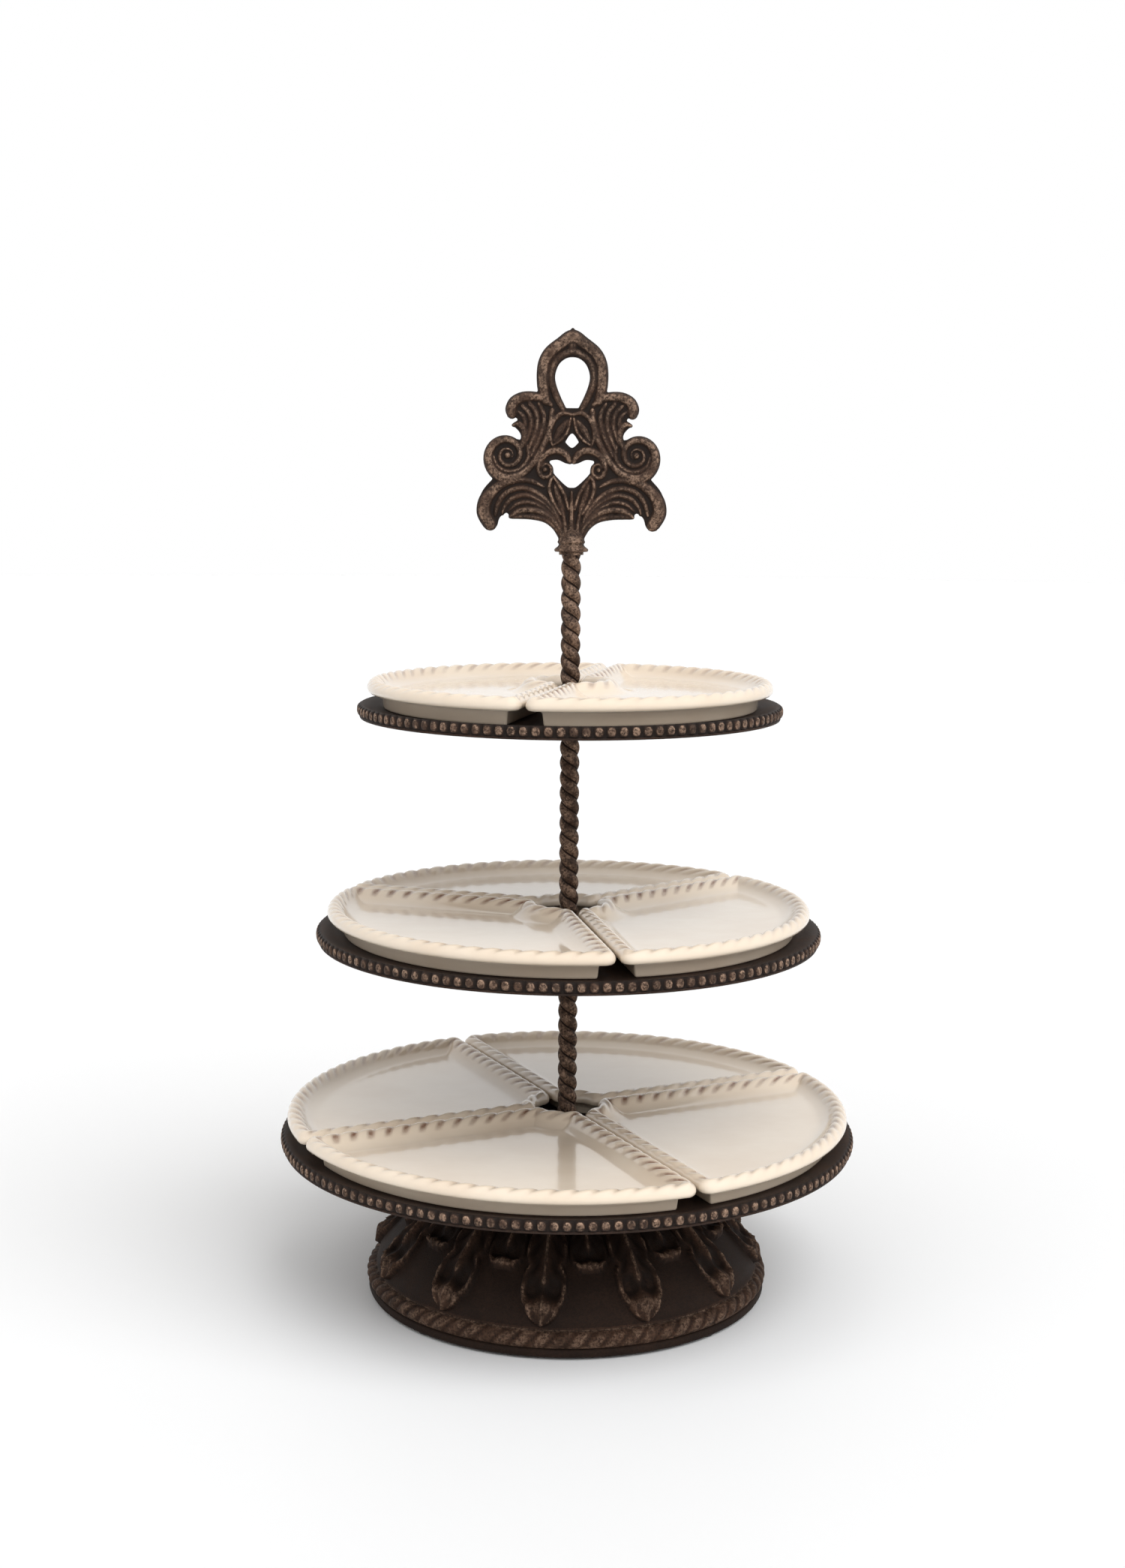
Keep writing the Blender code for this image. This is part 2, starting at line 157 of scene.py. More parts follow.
def finishPiece(piece, body, node, material, smoothAngle=40):
    pickUp(piece)
    bpy.ops.object.shade_smooth_by_angle(angle=math.radians(smoothAngle))
    piece.data.materials.clear()
    piece.data.materials.append(material)
    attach(piece, body)
    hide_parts(node)
    print("finished", piece.name, len(piece.data.polygons), "faces")


def smoothPath(points, steps):
    # eased curve through the points; a third value of 1 keeps a corner there,
    # and an end on the axis is eased as if the other half followed it
    def beyond(end, inner):
        return (-inner[0], inner[1]) if abs(end[0]) < 0.01 else end

    path = []
    last = len(points) - 1
    for i in range(last):
        start, end = points[i], points[i + 1]
        before = beyond(start, end) if i == 0 else points[i - 1]
        after = beyond(end, start) if i + 1 == last else points[i + 2]
        if len(start) > 2 and start[2]:
            before = start
        if len(end) > 2 and end[2]:
            after = end
        for k in range(steps):
            t = k / steps
            path.append(tuple(0.5 * (2 * start[n] + (end[n] - before[n]) * t
                                     + (2 * before[n] - 5 * start[n] + 4 * end[n] - after[n]) * t * t
                                     + (3 * start[n] - before[n] - 3 * end[n] + after[n]) * t ** 3)
                              for n in (0, 1)))
    path.append((points[-1][0], points[-1][1]))
    return path


# shader maths written as plain expressions

class Wire:
    def __init__(self, tree, socket=None):
        self.tree = tree
        self.socket = socket

    def node(self, kind, settings=None, values=None, out=0):
        made = self.tree.nodes.new(kind)
        for name, value in (settings or {}).items():
            if name == "stops":
                stops = made.color_ramp.elements
                stops.remove(stops[-1])
                stops[0].position = value[0][0]
                stops[0].color = value[0][1]
                for place, colour in value[1:]:
                    stops.new(place).color = colour
            else:
                setattr(made, name, value)
        for name, value in (values or {}).items():
            if isinstance(value, Wire):
                self.tree.links.new(value.socket, made.inputs[name])
            else:
                made.inputs[name].default_value = value
        return Wire(self.tree, made.outputs[out])

    def maths(self, operation, first, second):
        return self.node("ShaderNodeMath", {"operation": operation}, {0: first, 1: second})

    def __add__(self, other):
        return self.maths("ADD", self, other)

    def __sub__(self, other):
        return self.maths("SUBTRACT", self, other)

    def __rsub__(self, other):
        return self.maths("SUBTRACT", other, self)

    def __mul__(self, other):
        return self.maths("MULTIPLY", self, other)

    __radd__ = __add__
    __rmul__ = __mul__

    def ramp(self, *stops):
        # grey ramp of (place, brightness)
        return self.node("ShaderNodeValToRGB",
                         {"stops": [(place, (grey, grey, grey, 1)) for place, grey in stops]},
                         {"Fac": self})

    def mix(self, factor, first, second):
        return self.node("ShaderNodeMix", {"data_type": "RGBA"},
                         {0: factor, 6: first, 7: second}, out=2)

    def noise(self, scale, detail=3.0, roughness=0.55, stretch=(1, 1, 1)):
        place = self.node("ShaderNodeTexCoord", out=3)
        spread = self.node("ShaderNodeMapping", values={"Vector": place, "Scale": stretch})
        return self.node("ShaderNodeTexNoise", values={"Vector": spread, "Scale": scale, "Detail": detail,
                                                       "Roughness": roughness})

    def pebbles(self, scale):
        place = self.node("ShaderNodeTexCoord", out=3)
        return self.node("ShaderNodeTexVoronoi", values={"Vector": place, "Scale": scale})


def startMaterial(name, settings):
    material = bpy.data.materials.new(name)
    material.use_nodes = True
    tree = material.node_tree
    shader = tree.nodes["Principled BSDF"]
    for socket, value in settings.items():
        shader.inputs[socket].default_value = value
    return material, Wire(tree), shader


def plug(wire, shader, socket):
    wire.tree.links.new(wire.socket, shader.inputs[socket])


castFinish = {
    "dark": (0.010, 0.0055, 0.0038, 1),
    "brown": (0.028, 0.0138, 0.0080, 1),
    "tan": (0.070, 0.0355, 0.0215, 1),
    # light colour for crests: partly rubbed wear, partly painted highlight
    "rubbedAndHighlit": (0.400, 0.265, 0.185, 1),
    "pitScale": 900,
    "pitDepth": 0.0003,
}


def makeCastMetal(name, wearAndHighlight, gloss, marked=True):
    material, wire, shader = startMaterial(name, {"Metallic": 0.2, "Specular IOR Level": gloss})
    bend = wire.node("ShaderNodeNewGeometry", out=7)
    blotch = wire.noise(38, 4)
    patch = wire.noise(110, 3)
    grain = wire.noise(520, 4, 0.7)
    # painted shade: hollows found by pointiness, and the low points of the relief attribute, are darkened
    # towards the dark colour
    hollow = bend.ramp((0.44, 1), (0.495, 0))
    ridge = bend.ramp((0.505, 0), (0.55, 1))
    body = wire.mix(blotch.ramp((0.35, 0), (0.68, 1)), castFinish["brown"], castFinish["tan"])
    body = wire.mix(grain.ramp((0.40, 0.55), (0.56, 0)), body, castFinish["dark"])
    deep, crest = hollow * 0.8, ridge
    if marked:
        relief = wire.node("ShaderNodeAttribute", {"attribute_name": "relief"}, out=2)
        deep = wire.maths("MAXIMUM", deep, relief.ramp((0.04, 0.92), (0.52, 0)))
        raised = relief.ramp((0.33, 0), (0.45, 1))
        crest = wire.maths("MAXIMUM", ridge * raised, relief.ramp((0.60, 0), (0.86, 0.72), (1.0, 0.60)))
    body = wire.mix(deep, body, castFinish["dark"])
    # crests are lightened towards the light crest colour: partly rubbed wear, partly painted highlight
    wornAndHighlit = crest * grain.ramp((0.40, 0.05), (0.58, 1)) * patch.ramp((0.40, 0.14), (0.58, 1)) * wearAndHighlight
    colour = wire.mix(wornAndHighlit, body, castFinish["rubbedAndHighlit"])
    plug(colour, shader, "Base Color")
    plug(blotch * 0.16 + grain * 0.22 + (0.60 - 0.6 * gloss) - wornAndHighlit * 0.12, shader, "Roughness")
    pits = wire.pebbles(castFinish["pitScale"]) * 0.6 + grain * 0.8 + wire.noise(1700, 2) * 0.35
    bump = wire.node("ShaderNodeBump", values={"Height": pits, "Strength": 0.85,
                                               "Distance": castFinish["pitDepth"]})
    plug(bump, shader, "Normal")
    return material


glazeFinish = {
    "cream": (0.800, 0.690, 0.560, 1),
    "warm": (0.755, 0.630, 0.495, 1),
    "wash": (0.200, 0.090, 0.052, 1),
}


def makeCreamGlaze():
    material, wire, shader = startMaterial("creamGlaze", {
        "Roughness": 0.16, "Coat Weight": 0.5, "Coat Roughness": 0.05,
        "Subsurface Weight": 0.0, "Specular IOR Level": 0.5})
    cloud = wire.noise(14, 3)
    speck = wire.noise(260, 3, 0.7)
    tone = wire.mix(cloud.ramp((0.38, 0), (0.66, 1)), glazeFinish["cream"], glazeFinish["warm"])
    worn = wire.node("ShaderNodeAttribute", {"attribute_name": "wash"}, out=2)
    patch = wire.noise(55, 3).ramp((0.34, 0.40), (0.56, 1))
    stain = worn * patch * speck.ramp((0.30, 0.72), (0.58, 1))
    plug(wire.mix(stain, tone, glazeFinish["wash"]), shader, "Base Color")
    plug(stain * 0.25 + 0.14 + speck * 0.05, shader, "Roughness")
    ripple = wire.noise(60, 2) * 0.8 + speck * 0.2
    plug(wire.node("ShaderNodeBump", values={"Height": ripple, "Strength": 0.25, "Distance": 0.0004}),
         shader, "Normal")
    return material


def makeZincSteel():
    material, wire, shader = startMaterial("zincSteel", {"Metallic": 1.0})
    spangle = wire.pebbles(700)
    brushed = wire.noise(300, 3, 0.6, (1, 1, 14))
    plug(wire.mix(spangle.ramp((0.1, 0), (0.7, 1)), (0.34, 0.33, 0.31, 1), (0.52, 0.51, 0.48, 1)),
         shader, "Base Color")
    plug(brushed * 0.25 + 0.22, shader, "Roughness")
    plug(wire.node("ShaderNodeBump", values={"Height": brushed, "Strength": 0.3, "Distance": 0.0001}),
         shader, "Normal")
    return material


def makeFelt():
    material, wire, shader = startMaterial("padFelt", {"Sheen Weight": 0.5, "Specular IOR Level": 0.2})
    fibre = wire.noise(1800, 4, 0.7, (1, 1, 3))
    plug(wire.mix(fibre, (0.014, 0.012, 0.011, 1), (0.062, 0.055, 0.050, 1)), shader, "Base Color")
    plug(fibre * 0.1 + 0.86, shader, "Roughness")
    plug(wire.node("ShaderNodeBump", values={"Height": fibre, "Strength": 0.8, "Distance": 0.0003}),
         shader, "Normal")
    return material


castMetal = makeCastMetal("castMetal", 0.95, 0.24)
# shaded copy of the cast metal for the pedestal in shade under the bottom tray: fewer painted highlights and
# less gloss
castMetalInShade = makeCastMetal("castMetalInShade", 0.42, 0.14)
castPlain = makeCastMetal("castPlain", 0.95, 0.24, False)
creamGlaze = makeCreamGlaze()
zincSteel = makeZincSteel()
padFelt = makeFelt()
print("materials ready")


# beaded trays: one bead's worth of rim is shaped, then repeated round the edge

tray = {
    "beads": {"bottom_tray": 158, "middle_tray": 138, "top_tray": 115},
    "stepsPerBead": 10,
    "beadShare": 0.84,         # of the pitch, the rest is the gap
    "beadRows": 7,
    "lipRise": 3.0 * mm,
    "floorThickness": 3.0 * mm,
    "lipWidth": 15.5 * mm,
    "beadTop": 0.2 * mm,       # below the top of the lip
    "beadHeight": 8.2 * mm,
    "beadDepth": 2.6 * mm,
    "hubRadius": 40 * mm,      # where the floor's inner ring of faces ends
    "boreRadius": 4.3 * mm,
    # relief value for surfaces off the beads, kept low so that they take painted shade
    "plainShade": 0.32,
}


def trayProfile(edge, top, foot):
    floor = top - tray["lipRise"]
    under = floor - tray["floorThickness"]
    inner = edge - tray["lipWidth"]
    wall = edge - tray["beadDepth"]
    beadFoot = top - tray["beadTop"] - tray["beadHeight"]
    lip = [(0.0, 0.0), (1.5, 0.12), (4.0, 0.7), (7.0, 1.6), (10.0, 2.45), (11.8, 2.8)]
    points = [(tray["boreRadius"], floor), (tray["hubRadius"], floor), (inner - 12 * mm, floor)]
    points += [(inner + out * mm, floor + rise * mm) for out, rise in lip]
    rows = tray["beadRows"]
    points += [(wall, top - tray["beadTop"] - tray["beadHeight"] * k / rows) for k in range(rows + 1)]
    points += [(edge - 2.2 * mm, beadFoot - 0.3 * mm), (edge - 1.9 * mm, beadFoot - 0.9 * mm),
               (edge - 2.3 * mm, foot), (edge - 4.5 * mm, foot + 0.4 * mm),
               (edge - 8.4 * mm, under - 0.6 * mm), (edge - 10.4 * mm, under),
               (tray["hubRadius"], under), (tray["boreRadius"], under)]
    return points


def makeTray(node):
    low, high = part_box(node)
    count = tray["beads"][node]
    edge, top = high.x, high.z
    pitch = fullTurn / count
    piece = turnProfile(node.replace("_tray", "TrayCast"), trayProfile(edge, top, low.z),
                        tray["stepsPerBead"], pitch)
    places = readPoints(piece)
    radius = np.hypot(places[:, 0], places[:, 1])
    turned = np.arctan2(places[:, 1], places[:, 0]) / pitch - 0.5
    across = np.clip(np.abs(2 * turned) / tray["beadShare"], 0, 1)
    middle = top - tray["beadTop"] - tray["beadHeight"] / 2
    upright = np.clip(np.abs(places[:, 2] - middle) / (tray["beadHeight"] / 2), 0, 1)
    onBead = np.abs(radius - edge + tray["beadDepth"]) < 0.05 * mm
    swell = np.sqrt(np.clip(1 - across ** 2.2 - upright ** 2.6, 0, 1)) * tray["beadDepth"]
    radius = radius + swell * onBead
    angle = (turned + 0.5) * pitch
    writePoints(piece, np.column_stack((radius * np.cos(angle), radius * np.sin(angle), places[:, 2])))
    # relief for the material: bead crowns take a painted highlight, their sides and the gaps painted shade,
    # and the rest of the tray the plain painted shade
    crest = np.where(onBead, np.clip(swell / tray["beadDepth"], 0, 1) ** 2.5, tray["plainShade"])
    markPoints(piece, "relief", crest)
    repeatAround(piece, count)
    finishPiece(piece, "stand", node, castMetal, 50)


for trayNode in tray["beads"]:
    makeTray(trayNode)
print("trays ready")


# rope-twist rods

rod = {
    "strands": 2,
    "lead": 24 * mm,
    "groove": 2.3 * mm,
    "pointsPerStrand": 22,
    "stepLength": 0.8 * mm,
    "flareRadius": 9.2 * mm,
    "flareHeight": 7.0 * mm,
    "crest": 7.75 * mm,
    "boreRadius": 4.3 * mm,
    "boreDepth": 15 * mm,
}


def makeRod(node):
    low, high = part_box(node)
    length = high.z - low.z
    clearSelection()
    bpy.ops.mesh.primitive_circle_add(vertices=rod["strands"] * rod["pointsPerStrand"],
                                      radius=rod["crest"], location=(0, 0, low.z))
    piece = bpy.context.object
    piece.name = node.replace("_rod", "RopeRod")
    bpy.ops.object.transform_apply(location=True)
    places = readPoints(piece)
    angle = np.arctan2(places[:, 1], places[:, 0])
    lobe = np.abs(np.cos(rod["strands"] * angle / 2)) ** 0.75
    radius = rod["crest"] - rod["groove"] * (1 - lobe)
    writePoints(piece, np.column_stack((radius * np.cos(angle), radius * np.sin(angle), places[:, 2])))
    twist = piece.modifiers.new("Twist", "SCREW")
    twist.angle = -fullTurn * length / rod["lead"]
    twist.screw_offset = length
    twist.steps = round(length / rod["stepLength"])
    twist.render_steps = twist.steps
    twist.use_smooth_shade = True
    twist.use_merge_vertices = False
    applyAll(piece)
    places = readPoints(piece)
    rise = places[:, 2] - low.z
    flare = np.clip(1 - rise / rod["flareHeight"], 0, 1) ** 2
    grow = 1 + flare * (rod["flareRadius"] / rod["crest"] - 1)
    places[:, 0] *= grow
    places[:, 1] *= grow
    writePoints(piece, places)
    # relief for the material: groove bottoms take painted shade, strand crests a painted highlight
    crest = np.hypot(places[:, 0], places[:, 1]) / grow
    markPoints(piece, "relief", np.clip(1 - (rod["crest"] - crest) / rod["groove"], 0, 1) ** 0.8)
    bpy.ops.object.mode_set(mode="EDIT")
    for end, inward in ((low.z, 1), (high.z, -1)):
        bpy.ops.mesh.select_all(action="DESELECT")
        selectPoints(piece, lambda place: abs(place.z - end) < 1e-6)
        bpy.ops.mesh.edge_face_add()
        wide = rod["flareRadius"] if inward > 0 else rod["crest"]
        bpy.ops.mesh.extrude_region_move()
        shrink = rod["boreRadius"] / (wide - rod["groove"] / 2)
        bpy.ops.transform.resize(value=(shrink, shrink, 1), center_override=(0, 0, end))
        bpy.ops.mesh.extrude_region_move(
            TRANSFORM_OT_translate={"value": (0, 0, inward * rod["boreDepth"])})
    tidyFaces(piece)
    finishPiece(piece, "stand", node, castMetal, 55)


for rodNode in ("lower_rod", "middle_rod", "upper_rod"):
    makeRod(rodNode)
print("rods ready")


# wedge dishes: the outline is drawn out ring by ring, then the rim is roped

dish = {
    "tiers": {"bottom": (4, -64.5), "middle": (3, -79.0), "top": (2, -103.0)},
    "seam": 3.0 * mm,
    "notchRadius": 25.0 * mm,
    "corner": 9.0 * mm,
    "tightestCorner": 1.5 * mm,
    "spacing": 1.45 * mm,      # of the points along the outline
    "cornerSteps": (12, 10),   # outer and inner corners
    "crestInset": 5.6 * mm,
    "ropePitch": 14.6 * mm,
    "ropeSlant": 1.25,
    "ropeDepth": 1.6 * mm,
    "arcWash": 0.6,
    "straightWash": 1.0,
}
# inset from the outline and height above the foot in mm, then how strongly the rope shows
dishRows = (
    (18.4, 4.6, 0), (18.1, 0.5, 0), (17.4, 0.0, 0), (13.0, 0.0, 0), (12.2, 0.5, 0), (11.9, 1.8, 0),
    (11.6, 5.2, 0), (11.2, 9.0, 0), (10.6, 10.2, 0), (9.2, 10.8, 0), (5.6, 11.2, 0), (3.0, 11.6, 0),
    (1.5, 12.1, 0), (0.5, 13.2, 0), (0.05, 14.6, 0), (0.0, 15.8, 0), (0.25, 17.2, 0.08),
    (0.8, 18.5, 0.2), (1.7, 19.8, 0.4), (2.8, 20.8, 0.65), (4.1, 21.6, 0.9), (5.6, 22.0, 1),
    (7.1, 21.9, 1), (8.5, 21.4, 1), (9.8, 20.6, 0.95), (11.0, 19.5, 0.7), (12.1, 18.2, 0.35),
    (13.1, 16.9, 0.1), (14.2, 15.7, 0), (15.6, 14.6, 0), (17.4, 13.6, 0), (19.4, 12.7, 0),
    (21.2, 12.1, 0), (22.6, 11.8, 0), (23.8, 11.65, 0), (25.2, 11.55, 0), (27.0, 11.5, 0),
    (29.0, 11.5, 0),
)


def around(radius, angle):
    return Vector((radius * math.cos(angle), radius * math.sin(angle), 0))


def wedgeRing(size, inset):
    # plan of a dish about +X, counter-clockwise from the middle of its outer edge
    radius, half, counts = size
    edge = dish["seam"] / 2 + inset
    outer = radius - inset
    notch = dish["notchRadius"] + inset
    corner = max(dish["corner"] - inset, dish["tightestCorner"])
    farAngle = half - math.asin((edge + corner) / (outer - corner))
    nearAngle = half - math.asin((edge + corner) / (notch + corner))
    farCentre = around(outer - corner, farAngle)
    nearCentre = around(notch + corner, nearAngle)
    side = half + math.pi / 2
    along, round1, straight, round2, hollow = counts
    ring = [around(outer, farAngle * i / along) for i in range(along)]
    ring += [farCentre + around(corner, farAngle + (side - farAngle) * i / round1) for i in range(round1)]
    start, end = farCentre + around(corner, side), nearCentre + around(corner, side)
    ring += [start.lerp(end, i / straight) for i in range(straight)]
    back = nearAngle + math.pi
    ring += [nearCentre + around(corner, side + (back - side) * i / round2) for i in range(round2)]
    ring += [around(notch, nearAngle * (1 - i / hollow)) for i in range(hollow)]
    mirrored = [Vector((place.x, -place.y, 0)) for place in reversed(ring[1:])]
    return ring + [around(notch, 0)] + mirrored


def ringCounts(radius, half):
    step = dish["spacing"]
    reach = radius - dish["notchRadius"] - 2 * dish["corner"]
    wide, tight = dish["cornerSteps"]
    return (round(radius * half / step), wide, round(reach / step), tight,
            round(20 * mm * half / step) + 2)


def makeDish(tier, radius, foot):
    half = math.pi / dish["tiers"][tier][0]
    size = (radius, half, ringCounts(radius, half))
    rings = [wedgeRing(size, inset * mm) for inset, height, rope in dishRows]
    points = len(rings[0])
    clearSelection()
    bpy.ops.mesh.primitive_circle_add(vertices=points, radius=radius)
    piece = bpy.context.object
    piece.name = tier + "Dish"
    bpy.ops.object.mode_set(mode="EDIT")
    bpy.ops.mesh.select_all(action="SELECT")
    for row in dishRows[1:]:
        bpy.ops.mesh.extrude_edges_move(TRANSFORM_OT_translate={"value": (0, 0, mm)})
    bpy.ops.object.mode_set(mode="OBJECT")

    crest = wedgeRing(size, dish["crestInset"])
    lengths = [(crest[i - 1] - crest[i]).length for i in range(points)]
    travel = np.cumsum([0] + lengths[1:])
    whole = travel[-1] + lengths[0]
    strands = round(whole / dish["ropePitch"])
    pitch = whole / strands
    along, round1, straight, round2, _ = size[2]
    straightEnd = along + round1 + straight + round2
    order = np.arange(points)
    order = np.minimum(order, points - order)
    wash = np.where((order > along + round1 / 2) & (order < straightEnd), dish["straightWash"],
                    dish["arcWash"])

    places, stain = [], []
    profile = [Vector((-inset * mm, height * mm)) for inset, height, rope in dishRows]
    for row, (inset, height, rope) in enumerate(dishRows):
        before, after = profile[max(row - 1, 0)], profile[min(row + 1, len(profile) - 1)]
        lean = (after - before).normalized()
        outward, upward = lean.y, -lean.x
        ring = np.array([tuple(place) for place in rings[row]])
        nextRing = np.roll(ring, -1, axis=0) - np.roll(ring, 1, axis=0)
        normal = np.column_stack((nextRing[:, 1], -nextRing[:, 0]))
        normal /= np.maximum(np.hypot(normal[:, 0], normal[:, 1])[:, None], 1e-9)
        phase = (travel - dish["ropeSlant"] * (inset * mm - dish["crestInset"])) / pitch
        lobe = np.abs(np.cos(math.pi * phase))
        groove = 1 - lobe ** 0.8
        drop = -dish["ropeDepth"] * groove * rope
        ring[:, 0] += normal[:, 0] * outward * drop
        ring[:, 1] += normal[:, 1] * outward * drop
        ring[:, 2] = height * mm + upward * drop
        places.append(ring)
        inner = np.clip((inset - 2.0) / 6, 0.15, 1) * (inset < 14) * (height > 13)
        stain.append(np.clip(groove * 2.2 - 0.35, 0, 1) * np.sqrt(rope) * inner * wash)
    places = np.concatenate(places)
    places[:, 2] += foot
    writePoints(piece, places)
    markPoints(piece, "wash", np.concatenate(stain))

    bpy.ops.object.mode_set(mode="EDIT")
    for inset, height, _ in (dishRows[0], dishRows[-1]):
        bpy.ops.mesh.select_all(action="DESELECT")
        level = foot + height * mm
        fence = {tuple(round(value, 5) for value in place[:2]) for place in wedgeRing(size, inset * mm)}
        selectPoints(piece, lambda place: abs(place.z - level) < 2e-5
                     and (round(place.x, 5), round(place.y, 5)) in fence)
        bpy.ops.mesh.edge_face_add()
    bpy.ops.mesh.select_all(action="SELECT")
    bpy.ops.mesh.normals_make_consistent(inside=False)
    bpy.ops.object.mode_set(mode="OBJECT")
    return piece


def makeTier(tier):
    count, seamAngle = dish["tiers"][tier]
    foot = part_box(f"{tier}_dish_1")[0].z
    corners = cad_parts[f"{tier}_dish_1"].data.vertices
    radius = max(math.hypot(point.co.x, point.co.y) for point in corners)
    master = makeDish(tier, radius, foot)
    for number in range(1, count + 1):
        twin = copyPiece(master, f"{tier}Dish{number}")
        turn = math.radians(seamAngle + 360 / count * (number - 0.5))
        twin.rotation_euler.z = turn
        bpy.ops.object.transform_apply(rotation=True)
        node = f"{tier}_dish_{number}"
        finishPiece(twin, node, node, creamGlaze, 60)
    bpy.data.objects.remove(master)


for tierName in dish["tiers"]:
    makeTier(tierName)
print("dishes ready")


# pedestal: one leaf and its neighbours' halves are shaped on a slice of the bell

pedestal = {
    "slices": 12,
    "columns": 54,
    "firstLeaf": -90 - 7,      # degrees from +X to the long leaf nearest the front
    "neck": 58 * mm,
    "ropesPerSlice": 6,
    "ropeDepth": 2.1 * mm,
    "ropeCentre": (154.6 * mm, 12.4 * mm),
    "ropeRadius": 6.4 * mm,
    "longLeaf": {"end": 152.6 * mm, "width": (9.5 * mm, 10.0 * mm), "height": 5.2 * mm, "lobes": 4},
    "shortLeaf": {"end": 130 * mm, "width": (8.0 * mm, 8.5 * mm), "height": 3.4 * mm, "lobes": 3},
    "boreRadius": 4.3 * mm,
    "wall": 5 * mm,
    "seatThickness": 7 * mm,
    "footRing": (136 * mm, 13 * mm),    # inner radius and height of the ring it stands on
    # relief value for the plain bell, kept low so that it takes painted shade
    "plainShade": 0.14,
}


def bellCurve(foot, rise):
    # outer wall from under the tray to the crease above the rope
    marks = [(60.0, 0.988), (70.4, 0.83), (95.1, 0.67), (119.8, 0.51), (139.0, 0.36), (149.5, 0.245),
             (152.8, 0.17)]
    curve = smoothPath([(radius * mm, foot + rise * up) for radius, up in marks], 14)
    centre, height = pedestal["ropeCentre"]
    rope = [(centre + pedestal["ropeRadius"] * math.cos(turn), foot + height
             + pedestal["ropeRadius"] * math.sin(turn))
            for turn in (math.radians(100 - 13 * k) for k in range(13))]
    return curve, rope


def leafRelief(leaf, radius, sideways):
    start = pedestal["neck"]
    q = (radius - start) / (leaf["end"] - start)
    inside = (q > -0.02) & (q < 1)
    q = np.clip(q, 0, 1)
    base, spread = leaf["width"]
    width = base + spread * q ** 0.8
    lobe = np.abs(np.sin(math.pi * leaf["lobes"] * (q ** 1.15 + 0.06)))
    width *= 0.74 + 0.26 * lobe ** 0.6
    width *= np.sqrt(np.clip(1 - np.clip((q - 0.91) / 0.09, 0, 1) ** 2, 0, 1))
    share = np.clip(np.abs(sideways) / np.maximum(width, 1e-6), 0, 1.5)
    edge = np.clip((width - np.abs(sideways)) / (2.2 * mm), 0, 1)
    edge = edge * edge * (3 - 2 * edge) * inside
    vein = np.abs(np.sin(math.pi * (leaf["lobes"] * 2 * q - 1.7 * share)))
    height = leaf["height"] * (0.42 + 0.58 * np.abs(2 * np.clip(share, 0, 1) - 1) ** 1.4)
    height -= 1.5 * mm * (1 - vein ** 0.6) * np.clip(share * 4, 0, 1) * (q < 0.84)
    height += 1.3 * mm * np.exp(-(sideways / (1.3 * mm)) ** 2) * (q < 0.84)
    height -= 2.8 * mm * np.exp(-((q - 0.865) / 0.045) ** 2) * (share < 0.7)
    curl = np.exp(-((q - 0.95) / 0.035) ** 2)
    height += (3.4 * mm + 0.5 * mm * np.cos(sideways / (0.7 * mm))) * curl
    return height * edge


